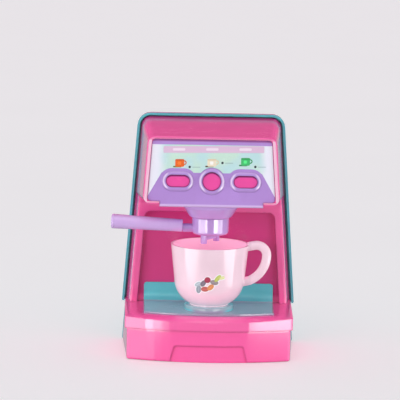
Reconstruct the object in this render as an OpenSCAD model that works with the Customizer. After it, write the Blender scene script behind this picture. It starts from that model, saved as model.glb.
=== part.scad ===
// Toy coffee maker: a C-shaped housing with a head, a column and a base, a control panel with three
// sprung buttons, a bayonet filter holder, a pull-out drip tray and a loose cup.
// X runs to the right, Y to the back and Z up. The origin lies on the table, midway between the sides.

/* [Machine] */
// Height from the table to the top of the rear cover
height = 226.5; // [221:0.5:234]
// Width of the rear cover, were its sides carried down to the table
width = 176; // [170:1:184]
// Depth from the middle of the bowed front to the back
depth = 106; // [103:1:112]
// How far the outer walls lean inward, for each mm of height
lean = 0.0745; // [0.06:0.0005:0.085]
// Wall of the pink, teal and purple mouldings
wall = 2.2; // [1.8:0.1:2.5]
// Gap left all round between mouldings that are pushed together
fit = 0.15; // [0.1:0.05:0.25]

/* [Base] */
// Height of the deck that the tray lies on
deck_z = 43; // [41.5:0.5:45.5]
// Height where the lip starts to overhang the lower block
lip_z = 30.5; // [27.5:0.5:32.5]
// Width of the lip at its front corners
lip_w = 158.4; // [154:0.2:162]
// How far the lip stands out past the lower block
lip_out = 2; // [1.5:0.1:2.5]
// How far the front bows forward in its middle
bow = 12; // [8:0.5:14]
// How far the sloping apron drops in front of the tray
apron_drop = 4.3; // [3:0.1:5]
// Run of the apron in its middle, from the deck to the lip's edge
apron_run = 10; // [8:0.5:11]
// Width of the notch in the lower block, at the bottom
notch_w = 73; // [60:1:90]
// Height of that notch
notch_h = 16; // [12:0.5:20]
// Depth of that notch
notch_d = 1.4; // [0.8:0.1:1.5]
// Width of the rim that the base stands on
foot_w = 7; // [5:0.5:10]
// Depth of the sunk field inside that rim
foot_sink = 1; // [0.6:0.1:1.5]

/* [Column] */
// Depth of the column, from its face to the back
column_d = 28; // [26:0.5:31]
// How far each side of the column's face lies inside the back edge
column_in = 5; // [4:0.5:6]
// Width of the border beside the recess
cheek = 7; // [6:0.5:9]
// Depth of the recess
recess_d = 5; // [4:0.5:6]
// Height of the border over the recess
recess_border = 16; // [14:0.5:20]

/* [Head] */
// Height of the head, from its underside to the top of the rear cover
head_h = 78; // [75:0.5:80]
// Width of the head's face at the bottom
face_w = 129.2; // [126:0.2:132]
// Width of the head's face at the top
face_top_w = 120.4; // [117:0.2:124]
// Height of the head's face
face_h = 63.8; // [61:0.2:66]
// Angle by which the face leans back
face_lean = 8.5; // [6:0.5:10]
// How far the face lies behind the front of the base
face_set = 11; // [9:0.5:13]
// Width of the rim beside the control panel
rim = 4.4; // [3.8:0.1:5]
// Width of that rim above and below the panel
rim_end = 3.2; // [2.6:0.1:3.6]
// How deep the panel lies inside that rim
panel_in = 1.5; // [1:0.1:2]
// Width of the tab that wraps under the head
tab_w = 96.8; // [90:0.2:100]

/* [Buttons] */
// Distance from one button to the next
button_pitch = 31.6; // [31:0.1:32.5]
// Height of the buttons' middles on the face
button_v = 22.3; // [21:0.1:24]
// Length of the two long buttons
pill_l = 21.8; // [20:0.1:22.4]
// Height of the two long buttons
pill_h = 10.8; // [9:0.1:12]
// Diameter of the round button
round_d = 16.8; // [15:0.1:17.6]
// Gap round each button in its hole
button_gap = 0.4; // [0.3:0.05:0.5]
// How far a button can be pressed
travel = 2; // [1.5:0.1:2.5]
// Width of the raised ring round each hole
bezel = 4.2; // [3.6:0.1:4.3]
// Height of that ring
bezel_h = 1.8; // [1.4:0.1:2.2]
// Turns of each button spring
spring_turns = 5; // [4:1:6]

/* [Brewing] */
// Gap between the cup's rim and the back of the recess
cup_back = 4.8; // [3:0.1:5.5]
// Radius of the collar where it meets the head
collar_r = 26.2; // [25.5:0.1:27]
// Radius of the collar at its lower edge
collar_low_r = 20.8; // [20:0.1:21.5]
// Height of the collar
collar_h = 12.4; // [12:0.1:13.5]
// Radius of the filter bowl
bowl_r = 17.8; // [17:0.1:18.4]
// Height of the filter bowl
bowl_h = 16.4; // [15:0.2:18]
// Length of the two spouts below the bowl
spout_l = 8.2; // [7.2:0.2:9.2]
// Distance between the two spouts
spout_pitch = 21.6; // [19:0.2:22]
// Angle between the line through the spouts and that through the handle
spout_turn = 56; // [30:1:90]
// Length of the grip
grip_l = 68; // [60:1:75]
// Radius of the grip at its outer end
grip_r = 7; // [6.5:0.1:7.5]
// Radius of the grip next to the bowl
grip_in_r = 6; // [5.5:0.1:6.4]
// Angle by which the grip rises outward
grip_rise = 2.7; // [0:0.1:4]

/* [Tray and cup] */
// Width of the tray at its back
tray_w = 126.2; // [120:0.2:128]
// How much narrower it is at its front
tray_taper = 4.6; // [2:0.2:7]
// Thickness of the tray
tray_t = 1.8; // [1.5:0.1:2.2]
// Height of the tray's upstand over the deck
tray_h = 19; // [16:0.5:22]
// Radius of the cove between the tray's floor and its upstand
cove_r = 9; // [7:0.5:10]
// Radius of the round pad under the cup
pad_r = 23.4; // [22:0.2:24]
// Height of that pad over the tray's floor
pad_h = 4.6; // [3:0.1:6]
// Radius of the cup at its rim
cup_r = 37.2; // [36.4:0.1:37.8]
// Radius of the round turn at the bottom of the cup
cup_turn = 26; // [24:0.5:27]
// Wall of the cup
cup_wall = 1.9; // [1.6:0.1:2.2]
// Width of the cup handle's strap, seen from the side of the cup
strap_w = 8.8; // [8:0.1:9.6]
// Thickness of that strap
strap_t = 7; // [6:0.1:8]
// Gap between the cup's rim and the spouts above it
cup_gap = 1.5; // [1:0.1:2]

/* [Screws] */
// Radius of the screws' shafts
screw_r = 1.3; // [1.1:0.05:1.4]
// Radius of the screws' heads
screw_head_r = 2.6; // [2.4:0.1:2.7]
// Height of the screws' heads
screw_head_h = 1.7; // [1.4:0.1:2]

/* [Hidden] */
$fn = 64;
skin = 0.01;              // overlap that joins two solids of one moulding
run_gap = 0.06;           // radial running clearance of a pin in its bore
slide_gap = 0.3;          // gap between pieces that slide or turn past each other
through = 1;              // how far a cut runs past the surface that it opens
lap = 1;                  // how far joined solids of one moulding reach into each other
rim_wall = 2.3;           // wall of the rear cover's rim
rim_gap = 1;              // shadow gap between that rim and the housing
rim_d = 9;                // how far the rim reaches forward from the back
rim_drop = 3;             // how far its two legs reach down past the deck
corner_r = 13;            // top corners of the rear cover

back_y = 50;
front_y = back_y - depth;
edge_y = back_y - wall;            // back edge of the housing, on the cover's inner face
column_y = back_y - column_d;
recess_y = column_y + recess_d;
face_y = front_y + face_set;
brew_y = recess_y - cup_back - cup_r;
head_z = height - head_h;
roof_z = height - rim_wall - rim_gap;
face_len = face_h / cos(face_lean);
face_r = 8;                        // corners of the head's face
panel_n = -panel_in;               // front of the panel, measured out of the face
ledge_n = panel_n - wall;          // back of the panel, on the housing's ledge
tab_z = head_z - wall;             // underside of the tab
collar_z = tab_z - collar_h;
bowl_top = collar_z - slide_gap;
bowl_z = bowl_top - bowl_h;
spout_z = bowl_z - spout_l;
floor_z = deck_z + tray_t;
cup_z = floor_z + pad_h;
rim_z = spout_z - cup_gap;
cup_h = rim_z - cup_z;

// Half the width of the rear cover, and of the housing at its back edge, at a height
function cover_half(z) = width / 2 - lean * z;
function body_half(z) = cover_half(z) - rim_wall - rim_gap;
// Half the width of the head's face, at a height measured up the face
function face_half(v) = face_w / 2 - (face_w - face_top_w) / 2 * v / face_len;

function turned(d) = d > 180 ? d - 360 : d < -180 ? d + 360 : d;
// The arc of radius r that rounds the corner b of the path a, b, c
function corner(a, b, c, r, n) =
  let (u = (a - b) / norm(a - b), v = (c - b) / norm(c - b), h = acos(u * v) / 2)
  let (m = b + (u + v) / norm(u + v) * r / sin(h))
  let (s = b + u * r / tan(h) - m, e = b + v * r / tan(h) - m)
  let (a0 = atan2(s[1], s[0]), sweep = turned(atan2(e[1], e[0]) - a0))
  r <= 0 ? [b] : [for (i = [0 : n]) m + r * [cos(a0 + sweep * i / n), sin(a0 + sweep * i / n)]];
// A polygon with its corners rounded, each by its own radius
function rounded(p, r, n = 6) =
  let (m = len(p))
  [for (i = [0 : m - 1], q = corner(p[(i + m - 1) % m], p[i], p[(i + 1) % m], r[i], n)) q];
function arc(c, r, from, to, n) =
  [for (i = [0 : n]) c + r * [cos(from + (to - from) * i / n), sin(from + (to - from) * i / n)]];
function box_points(w, h) = [[-w / 2, -h / 2], [w / 2, -h / 2], [w / 2, h / 2], [-w / 2, h / 2]];
function mirrored(p) = concat(p, [for (i = [len(p) - 1 : -1 : 0]) [-p[i][0], p[i][1]]]);

// Extrudes an X-Z outline from y0 back to y1
module upright(y0, y1) {
  translate([0, y1, 0]) rotate([90, 0, 0]) linear_extrude(y1 - y0) children();
}
// Puts X, up the face and out of the face in place of X, Y and Z
module on_face() {
  translate([0, face_y, head_z]) rotate([90 - face_lean, 0, 0]) children();
}
// The point v up the face and n out of it, in Y and Z, and the v where a layer n crosses a height
function face_at(v, n) =
  [face_y + v * sin(face_lean) - n * cos(face_lean), head_z + v * cos(face_lean) + n * sin(face_lean)];
function v_at(z, n) = (z - head_z - n * sin(face_lean)) / cos(face_lean);
// Extrudes an outline drawn on the face, between two heights out of it
module face_plate(n0, n1) {
  on_face() translate([0, 0, n0]) linear_extrude(n1 - n0) children();
}
module at_brew() {
  translate([0, brew_y, 0]) children();
}
module below(z) {
  translate([-width, -width, z - 2 * height]) cube([2 * width, 3 * width, 2 * height]);
}
// Skins a stack of level rings, each with the same number of points, and closes both ends
module loft(rings) {
  n = len(rings[0]);
  m = len(rings);
  skins = [for (j = [0 : m - 2], i = [0 : n - 1]) let (a = j * n + i, b = j * n + (i + 1) % n)
    each [[a, a + n, b + n], [a, b + n, b]]];
  caps = [[for (i = [0 : n - 1]) i], [for (i = [n - 1 : -1 : 0]) (m - 1) * n + i]];
  polyhedron([for (r = rings) each r], concat(skins, caps));
}
// A plan outline at one height
function level(p, z) = [for (q = p) [q[0], q[1], z]];
// Steps of a quarter round of radius r: how far each lies in, and how far it lies down
function round_steps(r, n = 3) = [for (i = [0 : n]) [r * (1 - sin(90 * i / n)), r * (1 - cos(90 * i / n))]];

// ---- Front housing ----

// The back outline over z_low, set in by inset all round
function body_outline(inset, z_low, r) = rounded(
  [[-body_half(z_low) + inset, z_low], [body_half(z_low) - inset, z_low],
   [body_half(roof_z) - inset, roof_z - inset], [-body_half(roof_z) + inset, roof_z - inset]],
  [0, 0, r, r]);
// The outline of the face, set in from its sides and its ends
function face_outline(side, end, r) = rounded(
  [[-face_half(end) + side, end], [face_half(end) - side, end],
   [face_half(face_len - end) - side, face_len - end],
   [-face_half(face_len - end) + side, face_len - end]],
  [r, r, r, r]);
// The base in plan: a bowed front, two rounded corners, and sides that widen to the back
function base_plan(y_mid, rise, half, y_end, half_end, r = base_r) =
  let (n = 10, w = half - 1.5 * r)
  let (right = [for (i = [1 : n]) [w * i / n, y_mid + rise * pow(w * i / n / half, 2)]])
  let (turn = corner(right[n - 1], [half, y_mid + rise], [half_end, y_end], r, 5))
  mirrored(concat(right, turn, [[half_end, y_end]]));

lip_half = lip_w / 2;
block_half = lip_half - lip_out;
base_r = 3;                       // front corners of the base, in plan
foot_edge = 2;                    // radius round the foot of the base
lip_edge = 0.6;                   // radius of the lip's lower edge
seam_in = 0.25;                   // step from the column in to the lip, and again to the lower block
head_edge = 1.6;                  // radius round the head's face
column_r = 2;                     // front corners of the column
apron_end = 1;                    // how far the apron drops at its two ends
apron_from = 30;                  // angle off upright at which the apron leaves the lip
deck_in = 3;                      // how far the deck's front corners lie inside the lip
deck_bow = 18.5;                  // bow of the deck's front edge

module head_block(inset, n0, y1) {
  r = corner_r - rim_wall - rim_gap - inset;
  difference() {
    hull() {
      upright(y1 - lap, y1) polygon(body_outline(inset, head_z + inset, r));
      for (s = round_steps(head_edge)) face_plate(n0 - s[1] - lap, n0 - s[1])
        polygon(face_outline(inset + s[0], inset + s[0], face_r - inset));
    }
    below(head_z + inset);
  }
}
// A block whose sides follow the lean: inset d0 at y0 and d1 at y1, with its front corners rounded
module column_block(y0, d0, y1, d1, z0, z1, r) {
  loft([for (z = [z0, z1]) level(rounded(
    [[d0 - body_half(z), y0], [body_half(z) - d0, y0], [body_half(z) - d1, y1], [d1 - body_half(z), y1]],
    [r, r, 0, 0]), z)]);
}
module lower_block() {
  y_mid = front_y + lip_out;
  loft(concat(
    [for (s = round_steps(foot_edge)) level(base_plan(y_mid + s[0], bow, block_half - s[0],
      edge_y, body_half(0) - 2 * seam_in - s[0]), s[1])],
    [level(base_plan(y_mid, bow, block_half, edge_y, body_half(lip_z) - 2 * seam_in), lip_z + lap)]));
}
// The sunk field under the base, which leaves a rim to stand on
module foot_field() {
  in = foot_edge + foot_w;
  y_mid = front_y + lip_out + in;
  translate([0, 0, -through]) linear_extrude(foot_sink + through)
    polygon(base_plan(y_mid, bow, block_half - in, edge_y - foot_w, body_half(0) - in));
}
// How far the lip's top edge lies below the deck
function lip_drop(y) = max(apron_end, apron_drop - (apron_drop - apron_end) * (y - front_y) / bow);
// The lip and the apron: the lip's top edge falls with its bow, and the deck's edge bows more
module lip_block() {
  plan = base_plan(front_y, bow, lip_half, edge_y, body_half(lip_z) - seam_in);
  deck_half = body_half(deck_z) - 2 * seam_in;
  deck = base_plan(front_y + apron_run, deck_bow, lip_half - deck_in, edge_y, deck_half);
  from = apron_from;
  loft(concat(
    [for (s = round_steps(lip_edge)) level(base_plan(front_y + s[0], bow, lip_half - s[0],
      edge_y, body_half(lip_z) - seam_in - s[0]), lip_z + s[1])],
    [for (a = [from : 15 : 90]) let (h = 1 - cos(a) / cos(from), v = (sin(a) - sin(from)) / (1 - sin(from)))
      [for (i = [0 : len(plan) - 1]) let (p = plan[i] + (deck[i] - plan[i]) * h)
        [p[0], p[1], deck_z - lip_drop(plan[i][1]) * (1 - v)]]]));
}
module base_cavity() {
  low = foot_sink + wall;
  shoulder = deck_z - apron_drop - wall;
  half = block_half - wall;
  end_y = edge_y + through;
  inner_y = front_y + lip_out + wall;
  loft([
    level(base_plan(inner_y, bow, half, end_y, body_half(low) - wall - 2 * seam_in), low),
    level(base_plan(inner_y, bow, half, end_y, body_half(shoulder) - wall - 2 * seam_in), shoulder),
    level(base_plan(front_y + apron_run, deck_bow, half, end_y, body_half(deck_z) - wall - 2 * seam_in),
      deck_z - wall)]);
}
module column_cavity() {
  difference() {
    column_block(column_y + wall, column_in + wall, edge_y + through, wall,
      deck_z - 2 * wall, head_z + 3 * wall, 0);
    upright(0, recess_y + wall) polygon(recess_outline(wall, deck_z - 4 * wall));
  }
}
function recess_half(z) = body_half(z) - column_in - cheek;
recess_top = head_z - recess_border;
recess_r = 6;                     // upper corners of the recess
// Outline of the recess, grown by grow and reaching down to z_low
function recess_outline(grow, z_low) = rounded(
  [[-recess_half(z_low) - grow, z_low], [recess_half(z_low) + grow, z_low],
   [recess_half(recess_top) + grow, recess_top + grow],
   [-recess_half(recess_top) - grow, recess_top + grow]],
  [0, 0, recess_r + grow, recess_r + grow]);

ledge_side = 8;                   // ledge behind the panel, at its two sides
ledge_end = 5;                    // and at its top and bottom
ledge_r = 3;                      // corners of the opening inside the ledge
module face_openings() {
  face_plate(ledge_n, through) polygon(face_outline(rim, rim_end, face_r - rim));
  face_plate(ledge_n - 2 * wall, ledge_n + through)
    polygon(face_outline(rim + ledge_side, rim_end + ledge_end, ledge_r));
  // The gap in the rim that the tab passes through
  face_plate(ledge_n - fit, through) translate([-tab_w / 2 - fit, -2 * rim_end])
    square([tab_w + 2 * fit, 4 * rim_end]);
}
notch_r = 3;                      // upper corners of the notch
notch_slant = 4;                  // how far its sides run in towards the top
module notch() {
  top = notch_w / 2 - notch_slant;
  upright(front_y - through, front_y + lip_out + notch_d + bow) polygon(rounded(
    [[-notch_w / 2, -through], [notch_w / 2, -through], [top, notch_h], [-top, notch_h]],
    [0, 0, notch_r, notch_r]));
}
// Everything of the lower block that lies deeper than the notch
module notch_back() {
  translate([0, 0, -2 * through]) linear_extrude(lip_z) polygon(
    base_plan(front_y + lip_out + notch_d, bow, block_half, edge_y, block_half));
}

cover_screw_in = 20;              // how far the cover's screws lie inside the housing's side
cover_screw_end = 13;             // how far the lowest and highest pair lie from the two ends
cover_screw_z = [cover_screw_end, (deck_z + recess_top) / 2, roof_z - cover_screw_end - wall];
cover_boss_r = 4;
cover_pad = 2.5;                  // pad inside the cover that takes the screw's head
cover_screw_l = 12;               // length of the screw's shaft
cover_boss_y = edge_y - cover_pad - cover_screw_l - wall;
tongue_t = 1.6;                   // the cover's tongue, which locates it in the housing
tongue_d = 4;                     // how far the tongue reaches in
rib_t = 1.8;                      // ribs that carry the bosses
function cover_screw_x(z) = body_half(z) - cover_screw_in;
// Height of the roof, which falls from the back edge to the top of the face
function roof_at(y) = let (top = face_at(face_len, 0))
  roof_z - (roof_z - top[1]) * (edge_y - y) / (edge_y - top[0]);
module at_cover_screws() {
  for (z = cover_screw_z, s = [-1, 1])
    translate([s * cover_screw_x(z), edge_y - cover_pad, z]) rotate([90, 0, 0]) children();
}
// The bosses for the cover's screws: the middle pair grows out of the recess, ribs carry the others
module cover_bosses() {
  y0 = cover_boss_y;
  y1 = edge_y - tongue_d - slide_gap;
  low = cover_screw_z[0];
  mid = cover_screw_z[1];
  high = cover_screw_z[2];
  at_cover_screws() cylinder(r = cover_boss_r, h = edge_y - cover_pad - y0);
  for (s = [-1, 1]) {
    translate([s * cover_screw_x(low) - rib_t / 2, y0, foot_sink + wall / 2])
      cube([rib_t, y1 - y0, low - foot_sink - wall / 2]);
    translate([s * cover_screw_x(high) - rib_t / 2, 0, 0]) rotate([90, 0, 90]) linear_extrude(rib_t)
      polygon([[y0, high], [y1, high], [y1, roof_at(y1) - wall / 2], [y0, roof_at(y0) - wall / 2]]);
    translate([s * cover_screw_x(mid), recess_y + wall / 2, mid]) rotate([-90, 0, 0])
      cylinder(r = cover_boss_r - skin, h = y0 - recess_y);
  }
}

module front_housing() {
  color("hotpink") difference() {
    union() {
      difference() {
        union() {
          head_block(0, 0, edge_y);
          column_block(column_y, column_in, edge_y, 0, deck_z - lap, head_z + lap, column_r);
          difference() {
            lower_block();
            difference() {
              notch();
              notch_back();
            }
          }
          lip_block();
        }
        head_block(wall, ledge_n - wall, edge_y + through);
        column_cavity();
        base_cavity();
        upright(0, recess_y) polygon(recess_outline(0, deck_z));
        face_openings();
        foot_field();
      }
      cover_bosses();
    }
    at_cover_screws() translate([0, 0, -through])
      cylinder(r = screw_r + run_gap, h = cover_screw_l + through);
    at_panel_screws() translate([0, 0, ledge_n - wall - through])
      cylinder(r = screw_r + fit, h = wall + 2 * through);
    at_group_screws() translate([0, 0, head_z - through])
      cylinder(r = screw_r + fit, h = wall + 2 * through);
  }
}

// ---- Rear cover and cover screws ----

function cover_outline(inset, z_low, r_low, r_top) = rounded(
  [[-cover_half(z_low) + inset, z_low], [cover_half(z_low) - inset, z_low],
   [cover_half(height) - inset, height - inset], [-cover_half(height) + inset, height - inset]],
  [r_low, r_low, r_top, r_top]);
cover_r = 2;                      // lower corners of the rear cover
leg_r = 1.5;                      // lower corners of its rim's two legs
field_in = 9;                     // border round the sunk field on the cover's back
field_r = 5;                      // lower corners of that field
field_sink = 0.6;                 // depth of that field
screw_seat = 1.5;                 // plastic left under the head of a cover screw
rim_low = deck_z - rim_drop;
// The back plate: flush with the base at its foot, and out to the rim over the deck
function plate_outline() = rounded(
  [[-body_half(0), 0], [body_half(0), 0], [body_half(rim_low), rim_low], [cover_half(rim_low), rim_low],
   [cover_half(height), height], [-cover_half(height), height],
   [-cover_half(rim_low), rim_low], [-body_half(rim_low), rim_low]],
  [cover_r, cover_r, 0, leg_r, corner_r, corner_r, leg_r, 0]);
module rear_cover() {
  // The housing's walls run in towards the front, so the tongue keeps that much more inside them
  taper = (tongue_d + through) * column_in / (column_d - 2 * wall);
  inner = rim_wall + rim_gap + wall + fit + taper;
  inner_r = corner_r - rim_wall - rim_gap;
  core = inner + tongue_t;
  low = foot_sink + wall + fit;
  color("mediumturquoise") difference() {
    union() {
      upright(edge_y, back_y) polygon(plate_outline());
      difference() {
        upright(back_y - rim_d, back_y) polygon(cover_outline(0, rim_low, leg_r, corner_r));
        upright(back_y - 2 * rim_d, edge_y + skin)
          polygon(cover_outline(rim_wall, -rim_d, 0, corner_r - rim_wall));
      }
      difference() {
        upright(edge_y - tongue_d, edge_y + skin) polygon(cover_outline(inner, low, cover_r, inner_r));
        upright(0, edge_y + 2 * skin)
          polygon(cover_outline(core, low + tongue_t, cover_r, inner_r - tongue_t));
      }
      at_cover_screws() translate([0, 0, -cover_pad - skin])
        cylinder(r = screw_head_r + wall, h = cover_pad + skin);
    }
    upright(back_y - field_sink, back_y + through)
      polygon(cover_outline(field_in, field_in, field_r, corner_r - field_in));
    at_cover_screws() translate([0, 0, -cover_pad - wall - through])
      cylinder(r = screw_r + fit, h = cover_pad + wall + 2 * through);
    at_cover_screws() translate([0, 0, -cover_pad - wall - through])
      cylinder(r = screw_head_r + slide_gap, h = cover_pad + wall + through - screw_seat);
  }
}
cross_l = 3.1;                    // cross in a screw's head: length, width and depth
cross_w = 0.7;
cross_d = 0.8;
screw_tip = 0.2;                  // room past the end of a screw in its bore
// A pan-head screw whose shaft runs up from z = 0, with its head below and a cross in it
module screw(l) {
  difference() {
    union() {
      cylinder(r = screw_r, h = l);
      translate([0, 0, -screw_head_h]) cylinder(r = screw_head_r, h = screw_head_h);
    }
    for (a = [0, 90])
      rotate([0, 0, a]) translate([-cross_l / 2, -cross_w / 2, -screw_head_h - through])
        cube([cross_l, cross_w, cross_d + through]);
  }
}
module cover_screws() {
  color("silver") at_cover_screws() translate([0, 0, -screw_seat])
    screw(cover_screw_l + screw_seat - screw_tip);
}

// ---- Control panel and label ----

button_x = [-button_pitch, 0, button_pitch];
bezel_turn = 3;                   // run of the round from a ring's top down to the panel
boss_v = 10;                      // how far the guide's bosses lie above and below the buttons
panel_screw_v = 12;               // height of the lower panel screws on the face
panel_screw_top = 11;             // and how far the upper ones lie below its top
panel_bore = wall - 0.6;          // depth of a screw's bore in the panel
group_bore = 5;                   // depth of a screw's bore in the collar
guide_t = 2;                      // thickness of the button guide
function button_size(i) = i == 1 ? [round_d, round_d] : [pill_l, pill_h];
// The rounded outline of button i, grown all round
module button_shape(i, grow) {
  s = button_size(i);
  h = s[1] / 2 + grow;
  translate([button_x[i], button_v])
    if (i == 1) circle(r = h);
    else polygon(rounded(box_points(s[0] + 2 * grow, 2 * h), [for (k = [0 : 3]) h - skin], 10));
}
module at_guide_bosses() {
  for (sx = [-1, 1], sv = [-1, 1])
    on_face() translate([sx * button_pitch / 2, button_v + sv * boss_v, 0]) children();
}
module at_panel_screws() {
  for (s = [-1, 1], v = [panel_screw_v, face_len - panel_screw_top])
    on_face() translate([s * (face_half(v) - rim - ledge_side / 2), v, 0]) children();
}
tab_back = brew_y + collar_r + 1;
tab_bend = 1.4;                   // outer radius of the bend at the foot of the panel
boss_r = 2.9;
// The tab runs down through the gap in the rim and turns back under the head. Its faces lie a hair
// inside those of the plate.
module tab() {
  front = panel_n - skin;
  back = ledge_n + skin;
  translate([-tab_w / 2, 0, 0]) rotate([90, 0, 90]) linear_extrude(tab_w) polygon(rounded(
    [face_at(2 * rim_end, back), face_at(2 * rim_end, front), face_at(v_at(tab_z, front), front),
     [tab_back, tab_z], [tab_back, head_z], face_at(v_at(head_z, back), back)],
    [0, 0, tab_bend, 0, 0, 0]));
}
module control_panel() {
  color("mediumpurple") difference() {
    union() {
      face_plate(ledge_n, panel_n) polygon(face_outline(rim + fit, rim_end + fit, face_r - rim - fit));
      tab();
      for (i = [0 : 2]) hull() for (s = round_steps(1, 4))
        face_plate(panel_n - lap, panel_n + bezel_h * (1 - s[1])) button_shape(i, bezel - bezel_turn * s[0]);
      at_guide_bosses() translate([0, 0, guide_n]) cylinder(r = boss_r, h = ledge_n - guide_n + skin);
    }
    for (i = [0 : 2]) face_plate(ledge_n - through, bezel_h + through) button_shape(i, button_gap);
    at_guide_bosses() translate([0, 0, guide_n - through])
      cylinder(r = screw_r + run_gap, h = guide_bore + through);
    at_panel_screws() translate([0, 0, ledge_n - through])
      cylinder(r = screw_r + run_gap, h = panel_bore + through);
    at_group_screws() translate([0, 0, tab_z - through]) cylinder(r = screw_r + fit, h = wall + 2 * through);
  }
}
label_t = 0.3;                    // thickness of the printed label
label_in = 0.4;                   // border between the label and the rim
label_top = face_len - 8.2;       // top edge of the label, up the face
label_low = 30.2;                 // its lower edge between the buttons
label_tail = 8.5;                 // where its two tails end, down the sides
label_knee = 46.8;                // where that lower edge turns down into the tails
label_clear = [2.4, 0.3, 2.4];    // border between the label and each ring
module panel_label() {
  side = rim + label_in;
  foot = face_half(label_tail) - side;
  color("paleturquoise") face_plate(panel_n, panel_n + label_t) difference() {
    polygon([[-foot, label_tail], [foot, label_tail],
      [face_half(label_top) - side, label_top], [side - face_half(label_top), label_top]]);
    polygon([[-foot - skin, label_tail - skin], [foot + skin, label_tail - skin],
      [label_knee, label_low], [-label_knee, label_low]]);
    for (i = [0 : 2]) button_shape(i, bezel + label_clear[i]);
  }
}
module panel_screws() {
  color("silver") at_panel_screws() translate([0, 0, ledge_n - wall])
    screw(wall + panel_bore - screw_tip);
}

// ---- Buttons ----

cap_sink = 1.2;                   // how far a button at rest lies below its ring
cap_n = panel_n + bezel_h - cap_sink;
flange_n = ledge_n - run_gap;     // a button's flange stops against the back of the panel
flange_out = 1.8;                 // how far the flange stands out round the button
flange_t = 1.4;
stem_r = 2.5;
stem_out = 2.3;                   // how far the stem stands out behind the guide
wire_r = 0.35;
coil_gap = 0.55;                  // gap between the stem and its spring
coil_spare = 0.85;                // room that a spring keeps when its button is pressed in
guide_n = flange_n - flange_t - travel - 2 * wire_r * (spring_turns + 1) - coil_spare;
guide_bore = ledge_n - guide_n - screw_tip;
stem_end = guide_n - guide_t - stem_out;
module button(i) {
  color("deeppink") {
    face_plate(flange_n - skin, cap_n) button_shape(i, 0);
    face_plate(flange_n - flange_t, flange_n) button_shape(i, flange_out);
    on_face() translate([button_x[i], button_v, stem_end])
      cylinder(r = stem_r, h = flange_n - flange_t - stem_end + skin);
  }
}
module button_left() { button(0); }
module button_middle() { button(1); }
module button_right() { button(2); }

coil_r = stem_r + coil_gap + wire_r;
// A plain helical spring that stands on z = 0
module coil(l, turns) {
  sides = 6;
  per_turn = 14;
  n = turns * per_turn;
  rings = [for (i = [0 : n], k = [0 : sides - 1])
    let (t = 360 * i / per_turn, a = 360 * k / sides, r = coil_r + wire_r * cos(a))
    [r * cos(t), r * sin(t), wire_r + (l - 2 * wire_r) * i / n + wire_r * sin(a)]];
  walls = [for (i = [0 : n - 1], k = [0 : sides - 1])
    let (a = i * sides + k, b = i * sides + (k + 1) % sides)
    each [[a, b, b + sides], [a, b + sides, a + sides]]];
  ends = [[for (k = [sides - 1 : -1 : 0]) k], [for (k = [0 : sides - 1]) n * sides + k]];
  polyhedron(rings, concat(walls, ends));
}
module spring(i) {
  color("silver") on_face() translate([button_x[i], button_v, guide_n + run_gap])
    coil(flange_n - flange_t - guide_n - 2 * run_gap, spring_turns);
}
module spring_left() { spring(0); }
module spring_middle() { spring(1); }
module spring_right() { spring(2); }

guide_edge = 1;                   // border of the guide round its bosses
guide_end = 6.5;                  // border of the guide past the outer stems
guide_r = 4;                      // corners of the guide
module button_guide() {
  l = 2 * (button_pitch + stem_r + guide_end);
  color("mediumpurple") difference() {
    face_plate(guide_n - guide_t, guide_n) translate([0, button_v])
      polygon(rounded(box_points(l, 2 * (boss_v + boss_r + guide_edge)), [for (k = [0 : 3]) guide_r]));
    for (x = button_x)
      on_face() translate([x, button_v, guide_n - guide_t - through])
        cylinder(r = stem_r + run_gap, h = guide_t + 2 * through);
    at_guide_bosses() translate([0, 0, guide_n - guide_t - through])
      cylinder(r = screw_r + fit, h = guide_t + 2 * through);
  }
}
module guide_screws() {
  color("silver") at_guide_bosses() translate([0, 0, guide_n - guide_t])
    screw(guide_t + guide_bore - screw_tip);
}

// ---- Brewing group ----

neck_r = 14.7;                    // neck of the filter bowl, in the collar
bore_r = neck_r + slide_gap;
groove_r = 18.4;                  // groove over the shelf, where the lugs turn
shelf = 3.6;                      // thickness of the shelf that carries the lugs
lug_h = 3;
lug_r = groove_r - slide_gap;
lug_at = 54;                      // angle of the first lug at rest, from the +X side
lug_w = 9;
gate_gap = 1;                     // gap beside a lug in its gate
collar_top = 3;                   // upright band of the collar under the head
collar_bevel = 0.8;               // bevel at its lower edge
group_screw_r = (groove_r + collar_r) / 2;
group_screw_at = [90, 200, 340];  // angles of the screws from the +X side, clear of the panel's foot
module at_group_screws() {
  at_brew() for (a = group_screw_at) rotate([0, 0, a]) translate([group_screw_r, 0, 0]) children();
}
module group_head() {
  color("plum") difference() {
    at_brew() difference() {
      rotate_extrude() polygon([[bore_r, collar_z], [collar_low_r - collar_bevel, collar_z],
        [collar_low_r, collar_z + collar_bevel], [collar_r, tab_z - collar_top], [collar_r, tab_z],
        [groove_r, tab_z], [groove_r, collar_z + shelf], [bore_r, collar_z + shelf]]);
      // Two gates in the shelf let the lugs in
      for (a = [0, 180]) rotate([0, 0, a]) translate([0, -lug_w / 2 - gate_gap, collar_z - through])
        cube([groove_r, lug_w + 2 * gate_gap, shelf + 2 * through]);
    }
    at_group_screws() translate([0, 0, tab_z - group_bore])
      cylinder(r = screw_r + run_gap, h = group_bore + through);
  }
}
module group_screws() {
  color("silver") at_group_screws() translate([0, 0, head_z + wall]) mirror([0, 0, 1])
    screw(2 * wall + group_bore - screw_tip);
}

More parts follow.
